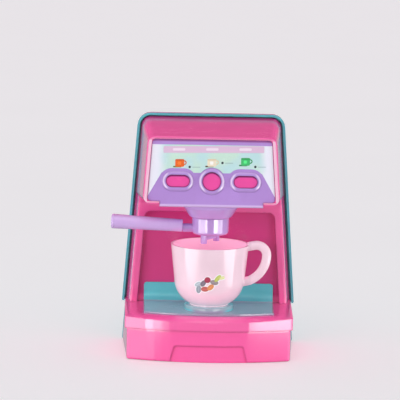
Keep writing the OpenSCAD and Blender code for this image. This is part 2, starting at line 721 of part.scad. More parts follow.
bowl_wall = 2;
bowl_turn = 3;                    // radius round the bottom of the bowl
bowl_taper = 0.4;                 // how much narrower the bowl is at its bottom
bowl_bevel = 0.6;                 // bevel at its upper edge
arm_r = 4.1;                      // arm that carries the grip
arm_up = 5.4;                     // height of its middle over the bottom of the bowl
arm_z = bowl_z + arm_up;
arm_l = 8.5;                      // how far the arm stands out of the bowl
arm_end = bowl_r + arm_l;
spigot_r = 2.8;                   // spigot that the grip is pushed on
spigot_l = 8;
module filter_bowl() {
  low = bowl_z + bowl_wall;
  lug_z = collar_z + shelf + slide_gap;
  color("mediumpurple") at_brew() difference() {
    union() {
      rotate_extrude() polygon(concat([[0, bowl_z]],
        arc([bowl_r - bowl_taper - bowl_turn, bowl_z + bowl_turn], bowl_turn, -90, 0, 6),
        [[bowl_r, bowl_top - bowl_bevel], [bowl_r - bowl_bevel, bowl_top], [neck_r, bowl_top],
         [neck_r, lug_z + lug_h], [0, lug_z + lug_h]]));
      intersection() {
        rotate([0, 0, lug_at]) translate([-lug_r, -lug_w / 2, lug_z]) cube([2 * lug_r, lug_w, lug_h]);
        cylinder(r = lug_r, h = height);
      }
      translate([run_gap - arm_end, 0, arm_z]) rotate([0, 90, 0])
        cylinder(r = arm_r, h = arm_l + bowl_wall);
      translate([-arm_end - spigot_l, 0, arm_z]) rotate([0, 90, 0])
        cylinder(r = spigot_r, h = spigot_l + arm_l);
    }
    translate([0, 0, low]) cylinder(r = neck_r - bowl_wall, h = height);
    at_spouts() cylinder(r = spout_bore_r, h = height);
  }
}
spout_r = 3.1;
spout_bore_r = 1.5;
web_h = 5;                        // web that joins the two spouts
web_t = 3.6;
module at_spouts() {
  rotate([0, 0, spout_turn]) for (s = [-1, 1]) translate([s * spout_pitch / 2, 0, 0]) children();
}
module twin_spout() {
  color("mediumpurple") at_brew() difference() {
    union() {
      at_spouts() translate([0, 0, spout_z]) cylinder(r = spout_r, h = bowl_z - spout_z);
      rotate([0, 0, spout_turn]) translate([-spout_pitch / 2, -web_t / 2, bowl_z - web_h])
        cube([spout_pitch, web_t, web_h]);
    }
    at_spouts() cylinder(r = spout_bore_r, h = height);
  }
}
grip_in_turn = 1;                 // radius round the grip's inner end
grip_turn = 2;                    // radius round its outer end
module filter_handle() {
  drop = grip_in_r - arm_r;       // the arm enters near the bottom of the grip
  color("mediumpurple") at_brew() translate([-arm_end, 0, arm_z]) difference() {
    translate([0, 0, drop]) rotate([0, -90 + grip_rise, 0]) rotate_extrude() polygon(concat([[0, 0]],
      arc([grip_in_r - grip_in_turn, grip_in_turn], grip_in_turn, -90, 0, 4),
      arc([grip_r - grip_turn, grip_l - grip_turn], grip_turn, 0, 90, 5),
      [[0, grip_l]]));
    translate([-spigot_l - slide_gap, 0, 0]) rotate([0, 90, 0])
      cylinder(r = spigot_r + run_gap, h = spigot_l + slide_gap + through);
  }
}

// ---- Drip tray ----

tray_bow = 11;                    // bow of the tray's front edge
tray_set = 1.4;                   // how far that edge lies behind the deck's
tray_r = 3;                       // upper corners of the upstand
pad_edge = 1;                     // radius round the pad's edge
tray_back = recess_y - slide_gap;
tray_front = front_y + apron_run + tray_set;
module drip_tray() {
  face = tray_back - tray_t;
  top = deck_z + tray_h;
  half = tray_w / 2;
  reach = (pow(tray_w / 2, 2) + pow(tray_bow, 2)) / (2 * tray_bow);
  color("lightseagreen") difference() {
    union() {
      intersection() {
        translate([-tray_w, 0, 0]) rotate([90, 0, 90]) linear_extrude(2 * tray_w) polygon(concat(
          [[front_y, deck_z]],
          arc([face - cove_r, floor_z + cove_r], cove_r + tray_t, -90, 0, 8),
          [[tray_back, top], [face, top]],
          arc([face - cove_r, floor_z + cove_r], cove_r, 0, -90, 8),
          [[front_y, floor_z]]));
        translate([0, tray_front + reach, 0]) cylinder(r = reach, h = height, $fn = 200);
        upright(front_y, back_y) polygon(rounded(
          [[-half - skin, 0], [half + skin, 0], [half + skin, top], [-half - skin, top]],
          [0, 0, tray_r, tray_r]));
        linear_extrude(height) polygon(
          [[-half, tray_back], [tray_taper / 2 - half, front_y], [half - tray_taper / 2, front_y],
           [half, tray_back], [half, back_y], [-half, back_y]]);
      }
      at_brew() translate([0, 0, floor_z - skin]) rotate_extrude() polygon(concat(
        [[0, 0], [pad_r, 0]],
        arc([pad_r - pad_edge, pad_h - pad_edge + skin], pad_edge, 0, 90, 4),
        [[0, pad_h + skin]]));
    }
    // The pad is hollow underneath, as a moulding is
    at_brew() translate([0, 0, deck_z - through]) cylinder(r = pad_r - tray_t, h = pad_h + through);
  }
}

// ---- Cup ----

side_lean = 6;                    // angle of the cup's straight side
turn_z = 22;                      // where the side runs into the round turn
foot_in = 65;                     // where that turn ends, in degrees below level
turn_r = cup_r - (cup_h - turn_z) * tan(side_lean);
turn_c = [turn_r - cup_turn * cos(side_lean), turn_z + cup_turn * sin(side_lean)];
function cup_outer(grow) = concat(
  arc(turn_c, cup_turn + grow, -foot_in, -side_lean, 9),
  [[cup_r + grow, cup_h]]);
function reversed(p) = [for (i = [len(p) - 1 : -1 : 0]) p[i]];
strap_out = 17;                   // how far the handle's middle line stands out past the rim
strap_top = 10.5;                 // level of the handle's widest point under the rim
strap_turn = 9.7;                 // radius of the handle's upper turn
strap_start = 2.6;                // where the handle leaves the wall, under the rim
strap_end = 21.5;                 // where it meets the wall again, over the foot
strap_in = 3;                     // how deep its upper end sits in the rim
strap_reach = cup_r + strap_out;
strap_low = (cup_h - strap_top - strap_end) / sin(76);
strap_path = concat(
  [[cup_r - strap_in, cup_h - strap_start]],
  arc([strap_reach - strap_turn, cup_h - strap_top], strap_turn, 104, 0, 8),
  arc([strap_reach - strap_low, cup_h - strap_top], strap_low, -8, -66, 7),
  [[turn_c[0] + sqrt(pow(cup_turn - cup_wall, 2) - pow(turn_c[1] - strap_end, 2)), strap_end]]);
// Sweeps an oval along a path in the X-Z plane
module strap(path) {
  sides = 14;
  n = len(path);
  rings = [for (i = [0 : n - 1])
    let (d = path[min(i + 1, n - 1)] - path[max(i - 1, 0)], u = [d[1], -d[0]] / norm(d))
    each [for (k = [0 : sides - 1])
      let (w = strap_w / 2 * cos(360 * k / sides), t = strap_t / 2 * sin(360 * k / sides))
      [path[i][0] + u[0] * w, t, path[i][1] + u[1] * w]]];
  walls = [for (i = [0 : n - 2], k = [0 : sides - 1])
    let (a = i * sides + k, b = i * sides + (k + 1) % sides)
    each [[a, b + sides, b], [a, a + sides, b + sides]]];
  ends = [[for (k = [0 : sides - 1]) k], [for (k = [sides - 1 : -1 : 0]) (n - 1) * sides + k]];
  polyhedron(rings, concat(walls, ends));
}
module at_cup() {
  at_brew() translate([0, 0, cup_z]) children();
}
cup_foot = turn_c[1] - cup_turn * sin(foot_in);
cup_foot_r = turn_c[0] + cup_turn * cos(foot_in);
foot_bevel = 0.5;                 // bevel at the lower edge of the cup's foot
module cup() {
  inner = cup_turn - cup_wall;
  inner_r = cup_r - cup_wall;
  floor = cup_foot + cup_wall;
  color("mistyrose") at_cup() difference() {
    union() {
      rotate_extrude($fn = 96) polygon(concat(
        [[0, 0], [cup_foot_r - foot_bevel, 0], [cup_foot_r, foot_bevel]], cup_outer(0), [[0, cup_h]]));
      strap(strap_path);
    }
    rotate_extrude($fn = 96) polygon(concat([[0, floor]],
      arc(turn_c, inner, -asin((turn_c[1] - floor) / inner), -side_lean, 9),
      [[inner_r, cup_h], [inner_r, cup_h + strap_w], [0, cup_h + strap_w]]));
    translate([0, 0, -through]) cylinder(r = cup_foot_r - cup_wall, h = cup_foot + through);
  }
}
motif_t = 0.25;
motif_seat = 0.02;                // glue line between the cup and its motif
motif_w = 30;
motif_h = 15;
motif_r = 6;                      // corners of the motif
motif_turn = 25;                  // slant of the motif on the cup
motif_z = 25.5;                   // its middle, over the cup's foot
module cup_motif() {
  color("lightpink") at_cup() intersection() {
    rotate_extrude($fn = 96) polygon(concat(cup_outer(motif_t), reversed(cup_outer(motif_seat))));
    upright(-2 * cup_r, 0) translate([0, motif_z]) rotate(motif_turn)
      polygon(rounded(box_points(motif_w, motif_h), [for (k = [0 : 3]) motif_r]));
  }
}

front_housing();
rear_cover();
cover_screws();
control_panel();
panel_label();
panel_screws();
button_left();
button_middle();
button_right();
spring_left();
spring_middle();
spring_right();
button_guide();
guide_screws();
group_head();
group_screws();
filter_bowl();
twin_spout();
filter_handle();
drip_tray();
cup();
cup_motif();
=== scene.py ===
import math

import bpy
from mathutils import Matrix, Vector


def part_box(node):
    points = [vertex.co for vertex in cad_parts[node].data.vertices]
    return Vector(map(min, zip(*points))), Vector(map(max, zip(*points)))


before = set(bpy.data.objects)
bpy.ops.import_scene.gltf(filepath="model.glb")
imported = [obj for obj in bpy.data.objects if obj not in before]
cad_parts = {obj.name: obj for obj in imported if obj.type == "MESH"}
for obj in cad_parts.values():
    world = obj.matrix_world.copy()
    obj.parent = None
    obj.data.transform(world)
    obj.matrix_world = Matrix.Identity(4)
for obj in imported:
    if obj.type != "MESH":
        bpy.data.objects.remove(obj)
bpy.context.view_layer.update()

# ---- Sizes shared with the CAD frame, in metres ----
MM = 0.001
FACE_Y = -0.045          # foot of the control panel's face
HEAD_Z = 0.1485          # underside of the head
FACE_LEAN = math.radians(8.5)
BUTTON_V = 22.3          # how far up the face the buttons' middles lie, in millimetres
PILL_H = 10.8            # height of the long buttons, in millimetres
FLANGE_OUT = 1.8         # how far a button's flange stands out round it, in millimetres
BUTTONS = ("button_left", "button_middle", "button_right")
# The panel's opening in the head, in millimetres up the face and across it
PANEL_FOOT = 3.2
PANEL_TOP = 60.6
PANEL_HALF_W = 60.2      # at the face's foot
PANEL_TAPER = 0.069      # how much narrower it gets on each side, for each millimetre up
CUP_Y = -0.015           # axis of the cup
CUP_Z = 0.0494           # underside of the cup
CUP_R = 0.0372           # radius of its rim
CUP_PRINT_Z = 0.0255     # middle of the cup's print, over that underside
CUP_PRINT_SLANT = math.radians(25)
CUP_PRINT_SCALE = 1.2


# ---- Shader graphs ----
class Wire:
    """A shader socket that takes part in sums with numbers and with other wires."""

    def __init__(self, graph, socket):
        self.graph, self.socket = graph, socket

    def math(self, operation, *others):
        return self.graph.math(operation, self, *others)

    def __add__(self, other):
        return self.math("ADD", other)

    def __radd__(self, other):
        return self.math("ADD", other)

    def __sub__(self, other):
        return self.math("SUBTRACT", other)

    def __rsub__(self, other):
        return self.graph.math("SUBTRACT", other, self)

    def __mul__(self, other):
        return self.math("MULTIPLY", other)

    def __rmul__(self, other):
        return self.math("MULTIPLY", other)

    def __truediv__(self, other):
        return self.math("DIVIDE", other)


    def __neg__(self):
        return self.math("MULTIPLY", -1.0)

    def __abs__(self):
        return self.math("ABSOLUTE")

    def __pow__(self, other):
        return self.math("POWER", other)


    def high(self, other):
        return self.math("MAXIMUM", other)

    def between(self, start, end, to_start=0.0, to_end=1.0):
        """Runs smoothly from to_start to to_end as this wire goes from start to end."""
        return self.graph.node(
            "ShaderNodeMapRange",
            {"interpolation_type": "SMOOTHSTEP"},
            {"Value": self, "From Min": start, "From Max": end, "To Min": to_start, "To Max": to_end},
        )


class Graph:
    """One material, made node by node."""

    def __init__(self, name):
        self.material = bpy.data.materials.new(name)
        self.material.use_nodes = True
        self.tree = self.material.node_tree
        self.tree.nodes.clear()

    def node(self, kind, settings, values, out=0):
        made = self.tree.nodes.new(kind)
        for key, value in settings.items():
            setattr(made, key, value)
        for key, value in values.items():
            if isinstance(value, Wire):
                self.tree.links.new(value.socket, made.inputs[key])
            else:
                made.inputs[key].default_value = value
        return Wire(self, made.outputs[out]) if made.outputs else None

    def math(self, operation, *values):
        return self.node("ShaderNodeMath", {"operation": operation}, dict(enumerate(values)))

    def mix(self, factor, a, b):
        """Colour a where factor is 0, and colour b where it is 1."""
        return self.node("ShaderNodeMix", {"data_type": "RGBA"}, {0: factor, 6: a, 7: b}, 2)

    def axes(self, position):
        """The three parts of a position, in millimetres."""
        parts = self.tree.nodes.new("ShaderNodeSeparateXYZ")
        self.tree.links.new(position.socket, parts.inputs[0])
        return [Wire(self, s) / MM for s in parts.outputs]

    def place(self):
        return self.node("ShaderNodeTexCoord", {}, {}, "Object")

    def facing(self):
        """The three parts of the surface's direction."""
        parts = self.tree.nodes.new("ShaderNodeSeparateXYZ")
        self.tree.links.new(self.node("ShaderNodeTexCoord", {}, {}, "Normal").socket, parts.inputs[0])
        return [Wire(self, s) for s in parts.outputs]

    def stretched(self, position, scale):
        """A position times a scale along each axis."""
        return self.node("ShaderNodeVectorMath", {"operation": "MULTIPLY"}, {0: position, 1: scale})

    def noise(self, position, size, detail=2.0, rough=0.5):
        """Noise from 0 to 1 whose lumps are about size metres across."""
        return self.node("ShaderNodeTexNoise", {}, {
            "Vector": position, "Scale": 1 / size, "Detail": detail, "Roughness": rough})


def srgb(r, g, b):
    """A colour given in sRGB, 0 to 255, as the linear values that shaders take."""
    def linear(c):
        c = c / 255
        return c / 12.92 if c <= 0.04045 else ((c + 0.055) / 1.055) ** 2.4
    return (linear(r), linear(g), linear(b), 1.0)


def shade(colour, factor):
    return tuple(min(1.0, c * factor) for c in colour[:3]) + (1.0,)


def moulded(name, colour, rough=0.2, coat=1.0, coat_ior=1.5, waviness=1.0, grain=1.0, print_over=None,
            edge=0.0004, glow=0.0, glow_over=None, dull_over=None):
    """Injection-moulded plastic: faint mottling, flow marks, an uneven skin and light scuffs.

    glow stands in for the light that thin, pale walls let through, and glow_over says where.
    dull_over says where the gloss is missing."""
    g = Graph(name)
    at = g.place()
    mottle = g.noise(at, 0.035, 3.0)
    streak = g.noise(g.stretched(at, (1.0, 1.0, 0.18)), 0.006, 3.0, 0.6)
    skin = g.noise(at, 0.0009, 2.0)
    waves = g.noise(at, 0.028, 1.0)
    # Scuffs are thin lines where two noises cross their middle values
    cross = abs(g.noise(g.stretched(at, (0.35, 1.0, 1.0)), 0.007, 4.0, 0.65) - 0.5)
    scuff = cross.between(0.0, 0.006, 1.0, 0.0) * mottle.between(0.5, 0.62)
    base = g.mix(mottle.between(0.32, 0.68), shade(colour, 0.955), shade(colour, 1.03))
    base = g.mix(streak.between(0.4, 0.75) * 0.16, base, shade(colour, 0.9))
    base = g.mix(scuff * 0.22, base, shade(colour, 1.18))
    if print_over:
        base = print_over(g, at, base)
    gloss = rough + (streak - 0.5) * 0.07 + (skin - 0.5) * 0.05 + scuff * 0.18
    height = waves * (0.030 * waviness) + streak * 0.003 + skin * (0.0022 * grain) - scuff * 0.003
    if dull_over:
        coat = coat * (1.0 - dull_over(g, at))
    rounded = g.node("ShaderNodeBevel", {"samples": 4}, {"Radius": edge})
    normal = g.node("ShaderNodeBump", {}, {
        "Strength": 1.0, "Distance": MM, "Height": height, "Normal": rounded})
    sockets = {
        "Base Color": base, "Roughness": gloss, "IOR": 1.5, "Coat Weight": coat,
        "Coat Roughness": 0.08, "Coat IOR": coat_ior, "Normal": normal}
    if glow_over:
        sockets["Emission Color"] = g.mix(glow_over(g, at), (0, 0, 0, 1), base)
        sockets["Emission Strength"] = glow
    surface = g.node("ShaderNodeBsdfPrincipled", {}, sockets)
    g.node("ShaderNodeOutputMaterial", {}, {"Surface": surface})
    return g.material


def steel(name, colour, rough, turned):
    """Plated steel with the fine rings or lines that turning or drawing leaves."""
    g = Graph(name)
    at = g.place()
    lines = g.noise(g.stretched(at, turned), 0.0008, 3.0, 0.6)
    spots = g.noise(at, 0.0016, 3.0, 0.6)
    base = g.mix(spots.between(0.45, 0.7), colour, shade(colour, 0.78))
    gloss = rough + (lines - 0.5) * 0.2 + spots.between(0.5, 0.75) * 0.15
    normal = g.node("ShaderNodeBump", {}, {"Strength": 0.6, "Distance": MM, "Height": lines * 0.01})
    surface = g.node("ShaderNodeBsdfPrincipled", {}, {
        "Base Color": base, "Metallic": 1.0, "Roughness": gloss, "Normal": normal})
    g.node("ShaderNodeOutputMaterial", {}, {"Surface": surface})
    return g.material


# ---- Printed shapes, as masks over a plane marked out in millimetres ----
PRINT_SOFT = 0.12


def inside(distance, soft=PRINT_SOFT):
    """1 where a signed distance is below nothing, and 0 outside."""
    return distance.between(-soft, soft, 1.0, 0.0)


def box_distance(x, y, half_w, half_h, r):
    """How far a point lies outside a rectangle with rounded corners."""
    over_x = (abs(x) - (half_w - r)).high(0.0)
    over_y = (abs(y) - (half_h - r)).high(0.0)
    return (over_x * over_x + over_y * over_y) ** 0.5 - r


def disc_distance(x, y, r):
    return (x * x + y * y) ** 0.5 - r


def ellipse(x, y, cx, cy, rx, ry, turn, grow=0.0):
    """The mask of an ellipse at (cx, cy), turned by some degrees."""
    c, s = math.cos(math.radians(turn)), math.sin(math.radians(turn))
    u = ((x - cx) * c + (y - cy) * s) / (rx + grow)
    v = ((y - cy) * c - (x - cx) * s) / (ry + grow)
    return inside(((u * u + v * v) ** 0.5 - 1.0) * min(rx, ry))


def up_the_face(y, z):
    """How far a point lies up the control panel's leaning face, in millimetres."""
    return (y - FACE_Y / MM) * math.sin(FACE_LEAN) + (z - HEAD_Z / MM) * math.cos(FACE_LEAN)


def beside_panel(x, v):
    """How far a point lies outside the sides of the panel's opening."""
    return abs(x) - (PANEL_HALF_W - v * PANEL_TAPER)


def button_size(name):
    """A button's middle across the panel and half its width and height, in millimetres."""
    low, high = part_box(name)
    half_w = (high[0] - low[0]) / 2 / MM - FLANGE_OUT
    half_v = half_w if name == "button_middle" else PILL_H / 2
    return (low[0] + high[0]) / 2 / MM, half_w, half_v


def outside_hole(x, v, cx, half_w, half_v):
    """How far a point on the face lies outside a button's hole, whose ends are half circles."""
    return box_distance(x - cx, v - BUTTON_V, half_w, half_v, half_v - 0.01)


def panel_shade_and_highlights(g, at, base):
    """Painted shade darkens the panel's top and right edge, along its seam with the head's rim.

    The shoulders of the rings round the buttons are painted pale, as highlights."""
    x, y, z = g.axes(at)
    v = up_the_face(y, z)
    right = (-beside_panel(x, v)).between(0.1, 1.1, 1.0, 0.0) * x.between(-1.0, 1.0)
    seam = right.high((PANEL_TOP - v).between(0.3, 2.0, 1.0, 0.0))
    for name in BUTTONS:
        cx, half_w, half_v = button_size(name)
        out = outside_hole(x, v, cx, half_w, half_v)
        shoulder_highlight = out.between(1.2, 2.0) * out.between(2.7, 3.5, 1.0, 0.0)
        shoulder_highlight = shoulder_highlight * abs(x - cx).between(half_w - 0.5 * half_v, half_w + 0.5)
        base = g.mix(shoulder_highlight * 0.75, base, srgb(240, 222, 248))
    # The bend under the panel gets a paler line, a painted highlight
    base = g.mix(v.between(0.2, 1.3, 0.75, 0.0), base, srgb(222, 196, 240))
    return g.mix(seam * 0.75, base, srgb(140, 52, 130))


def front_mask(g):
    """1 where the surface faces the front."""
    _, out_y, _ = g.facing()
    return out_y.between(-0.9, -0.6, 1.0, 0.0)


def recess_mask(g, at):
    """1 in the recess behind the cup."""
    _, y, z = g.axes(at)
    height = z.between(46.0, 52.0) * z.between(131.0, 134.0, 1.0, 0.0)
    return front_mask(g) * y.between(21.5, 23.5) * height


def housing_dullness(g, at):
    """The recess, the roof and the front of the base under its lip have less gloss."""
    _, y, z = g.axes(at)
    _, _, out_z = g.facing()
    roof = out_z.between(0.7, 0.9, 0.0, 0.5)
    under_lip = front_mask(g) * y.between(-40.0, -36.0, 1.0, 0.0) * z.between(28.0, 29.5, 1.0, 0.0)
    return (recess_mask(g, at) * 0.9).high(under_lip * 0.8).high(roof)


def housing_painted_light(g, at, base):
    """Painted highlights make the rim round the control panel pale, and painted shade makes the recess
    the deeper pink.
    """
    x, y, z = g.axes(at)
    v = up_the_face(y, z)
    above, below = v - PANEL_TOP, PANEL_FOOT - v
    out = beside_panel(x, v).high(below)
    rim_highlight = out.between(0.0, 0.5) * out.between(2.0, 4.2, 1.0, 0.0) * above.between(-1.0, 1.0, 1.0, 0.25)
    rim_highlight = rim_highlight.high(above.between(0.0, 0.6) * above.between(1.0, 2.6, 0.3, 0.0))
    on_face = front_mask(g) * y.between(-34.0, -28.0, 0.8, 0.0) * v.between(-0.6, 0.2)
    base = g.mix(rim_highlight * on_face, base, srgb(255, 216, 238))
    # From the panel's foot down, the housing is painted a lighter pink within 2 mm, a painted lift of
    # light
    base = g.mix(below * 0.5, base, srgb(255, 98, 170))
    # Painted shade: the recess behind the cup is darkened to a deeper pink
    return g.mix(recess_mask(g, at) * 0.9, base, srgb(216, 62, 134))


def panel_dullness(g, at):
    """The panel's flats are duller than the domed rings that fingers polish."""
    _, out_y, out_z = g.facing()
    return (out_z * math.sin(FACE_LEAN) - out_y * math.cos(FACE_LEAN)).between(0.97, 0.995, 0.0, 0.9)


def button_painted_shadow(cx, half_w, half_v):
    """Painted shade in the gap round a button, darkest under the upper edge of its hole."""
    def seam(g, at, base):
        x, y, z = g.axes(at)
        v = up_the_face(y, z)
        out = outside_hole(x, v, cx, half_w, half_v)
        mask = out.between(-1.8, -0.3) * (v - BUTTON_V).between(0.2 * half_v, 0.8 * half_v)
        mask = mask.high(out.between(-0.8, -0.1) * 0.4)
        return g.mix(mask * 0.9, base, srgb(116, 18, 92))
    return seam


def label_print(g, at, base):
    """The control panel's label: a pink band over a mint field that pales to white at both sides."""
    x, y, z = g.axes(at)
    # The print sits a little askew on the panel
    v = up_the_face(y, z) - x * 0.015
    cloud = g.noise(at, 0.02, 1.0)
    base = g.mix(cloud.between(0.35, 0.65), srgb(192, 226, 228), srgb(203, 231, 216))
    base = g.mix((abs(x - 0.5) + (cloud - 0.5) * 8.0).between(41.0, 52.0), base, srgb(238, 239, 250))
    band = inside(box_distance(x - 1.5, v - 52.2, 47.0, 3.1, 1.0), 0.5)
    base = g.mix(band, base, srgb(224, 191, 218))
    # Three pale plates lie on the band, over the three buttons
    for cx in (-31.0, 0.0, 31.0):
        plate = inside(box_distance(x - cx, v - 52.3, 5.8, 1.2, 1.1), 0.4)
        base = g.mix(plate * 0.8, base, srgb(247, 232, 244))
    mugs = ((-30.2, 39.6, srgb(240, 104, 34), srgb(214, 84, 28), srgb(112, 128, 60)),
            (-0.2, 39.8, srgb(238, 226, 200), srgb(226, 206, 170), srgb(84, 66, 48)),
            (31.2, 40.8, srgb(70, 190, 110), srgb(44, 156, 86), srgb(52, 128, 84)))
    for cx, cy, body, rim, saucer in mugs:
        u, w = x - cx, v - cy
        base = g.mix(inside(box_distance(u + 2.2, w + 3.4, 3.9, 0.7, 0.6), 0.25), base, saucer)
        loop = abs(disc_distance(u - 4.4, w - 0.3, 1.6)) - 0.5
        base = g.mix(inside(loop), base, rim)
        base = g.mix(inside(box_distance(u, w, 4.2, 3.6, 1.4)), base, body)
        base = g.mix(inside(box_distance(u, w - 2.8, 4.2, 0.6, 0.5)), base, rim)
        # A paler patch gives each mug its shine
        base = g.mix(inside(box_distance(u + 0.2, w + 0.2, 1.6, 1.5, 0.8), 0.4) * 0.75, base,
                     shade(body, 1.9))
    # A small dot with a short rule marks each mug
    for cx, cy in ((-20.8, 35.9), (9.7, 39.7), (40.4, 36.1)):
        base = g.mix(inside(disc_distance(x - cx, v - cy, 1.15), 0.25), base, srgb(48, 62, 70))
        rule = inside(box_distance(x - cx - 6.2, v - cy + 0.2, 3.7, 0.3, 0.25), 0.3)
        base = g.mix(rule * 0.65, base, srgb(120, 160, 164))
    return base


def motif_print(g, at, base):
    """The cup's print: beans, a berry and leaves on a slant."""
    x, _, z = g.axes(at)
    v = z - (CUP_Z + CUP_PRINT_Z) / MM
    c, s = math.cos(CUP_PRINT_SLANT), math.sin(CUP_PRINT_SLANT)
    u, w = (x * c + v * s) / CUP_PRINT_SCALE, (v * c - x * s) / CUP_PRINT_SCALE
    # Middle, half length and half width, turn and colour of each bean, berry and leaf
    shapes = (
        (-9.8, -0.6, 3.4, 1.9, 62, srgb(150, 158, 168)),
        (-8.6, 3.4, 2.8, 1.5, 8, srgb(176, 188, 196)),
        (-5.2, -2.4, 3.1, 2.1, -24, srgb(196, 92, 84)),
        (-4.6, 2.4, 2.9, 1.9, 32, srgb(120, 108, 122)),
        (-0.6, -2.8, 3.0, 2.0, 18, srgb(226, 142, 84)),
        (-0.4, 3.6, 2.5, 2.4, 0, srgb(170, 38, 72)),
        (3.6, -0.4, 3.3, 2.0, -38, srgb(150, 134, 138)),
        (7.4, 1.4, 3.4, 1.7, 24, srgb(186, 196, 96)),
        (10.9, 0.2, 2.6, 1.3, -8, srgb(222, 222, 150)),
    )
    for cx, cy, rx, ry, turn, _ in shapes:
        base = g.mix(ellipse(u, w, cx, cy, rx, ry, turn, 0.6), base, srgb(252, 246, 250))
    for cx, cy, rx, ry, turn, colour in shapes:
        base = g.mix(ellipse(u, w, cx, cy, rx, ry, turn), base, colour)
        # A lighter line runs along each bean and leaf
        base = g.mix(ellipse(u, w, cx, cy, rx * 0.75, 0.22, turn) * 0.7, base, shade(colour, 1.6))
    return base


def tray_floor(g, at, base):
    """The tray's floor is painted greyer than its upstand, a painted reflection of its surroundings."""
    x, y, z = g.axes(at)
    _, out_y, out_z = g.facing()
    # A painted reflection of the pink deck shows in the tray's front edge
    base = g.mix(out_y.between(-0.8, -0.4, 0.8, 0.0) * y.between(-36.0, -28.0, 1.0, 0.0), base,
                 srgb(176, 136, 172))
    floor_glare = out_z.between(0.9, 0.98) * z.between(46.0, 47.0, 1.0, 0.0)
    base = g.mix(floor_glare * 0.9, base, srgb(178, 160, 182))
    # The pad that the cup stands on is painted greyer too
    y = y - CUP_Y / MM
    pad = ((x * x + y * y) ** 0.5).between(25.0, 27.0, 1.0, 0.0) * z.between(46.3, 46.8)
    return g.mix(pad * 0.6, base, srgb(158, 182, 190))


def lining_mask(g, at):
    """1 on the cup's inside, from its rim down, and 0 on its outside."""
    x, y, _ = g.axes(at)
    out_x, out_y, out_z = g.facing()
    y = y - CUP_Y / MM
    radius = (x * x + y * y) ** 0.5
    outward = (out_x * x + out_y * y) / radius.high(1.0)
    lining = (outward - out_z * 0.6).between(-0.5, -0.3, 1.0, 0.0)
    return lining * radius.between(CUP_R / MM - 0.1, CUP_R / MM + 0.1, 1.0, 0.0)


# The cup's inside is painted a deeper pink, standing in for the pink light that bounces round inside it
def cup_inside_tint(g, at, base):
    return g.mix(lining_mask(g, at), base, srgb(240, 182, 208))


def cup_glow(g, at):
    """Painted glow stands in for light through the cup's bottom from the tray and into its inside through
    its walls, and lightens the handle.
    """
    x, _, z = g.axes(at)
    low = z.between(CUP_Z / MM + 2.0, CUP_Z / MM + 26.0, 0.8, 0.3)
    handle = x.between(CUP_R / MM, CUP_R / MM + 3.0, 0.0, 0.6)
    return low.high(lining_mask(g, at)).high(handle)


# ---- Materials ----
PINK = srgb(246, 78, 160)
TEAL = srgb(90, 188, 196)
# TRAY is the cover's teal painted lighter, standing in for light in the shaded recess
TRAY = srgb(98, 208, 216)
LAVENDER = srgb(184, 144, 217)
# COLLAR, FILTER and GRIP are the panel's lavender painted lighter, standing in for light on these pieces
COLLAR = srgb(198, 158, 226)
FILTER = srgb(189, 149, 217)
GRIP = srgb(212, 178, 236)
BUTTON = srgb(243, 78, 165)
CUP = srgb(241, 211, 223)
CUP_GLOW = 0.34
FILM_EDGE = 0.00005      # thin films have next to no rounding


def button_look(name):
    return moulded("pink_" + name, BUTTON, rough=0.26, coat=0.4,
                   print_over=button_painted_shadow(*button_size(name)))


looks = {
    "front_housing": moulded("pink_housing", PINK, coat_ior=1.7, print_over=housing_painted_light, edge=0.0024,
                             dull_over=housing_dullness),
    "rear_cover": moulded("teal_cover", TEAL),
    "control_panel": moulded("lavender_panel", LAVENDER, coat_ior=2.0, print_over=panel_shade_and_highlights,
                             edge=0.0008, dull_over=panel_dullness),
    "panel_label": moulded("label_film", srgb(190, 224, 226), rough=0.26, coat=0.2, waviness=0.3,
                           print_over=label_print, edge=FILM_EDGE),
    "button_left": button_look("button_left"),
    "button_middle": button_look("button_middle"),
    "button_right": button_look("button_right"),
    "button_guide": moulded("lavender_guide", srgb(160, 128, 200), rough=0.34, coat=0.1, grain=2.0),
    "group_head": moulded("lavender_collar", COLLAR, coat_ior=1.8),
    "filter_bowl": moulded("lavender_bowl", FILTER, coat_ior=2.0),
    "filter_handle": moulded("lavender_grip", GRIP, coat_ior=1.7),
    "drip_tray": moulded("teal_tray", TRAY, print_over=tray_floor, edge=0.0015),
    "cup": moulded("cup_plastic", CUP, rough=0.3, coat_ior=1.7, print_over=cup_inside_tint,
                   glow=CUP_GLOW, glow_over=cup_glow),
    "cup_motif": moulded("motif_print", CUP, rough=0.3, coat_ior=1.7, print_over=motif_print,
                         edge=FILM_EDGE, glow=CUP_GLOW, glow_over=cup_glow),
    "cover_screws": steel("screw_steel", (0.56, 0.57, 0.6, 1), 0.3, (1.0, 1.0, 0.2)),
    "spring_left": steel("spring_steel", (0.5, 0.51, 0.53, 1), 0.25, (0.2, 1.0, 1.0)),
}
SAME = {
    "twin_spout": "filter_bowl",
    "panel_screws": "cover_screws", "guide_screws": "cover_screws", "group_screws": "cover_screws",
    "spring_middle": "spring_left", "spring_right": "spring_left",
}
for name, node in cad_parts.items():
    material = looks[SAME.get(name, name)]
    if not node.material_slots:
        node.data.materials.append(material)
    for slot in node.material_slots:
        slot.material = material


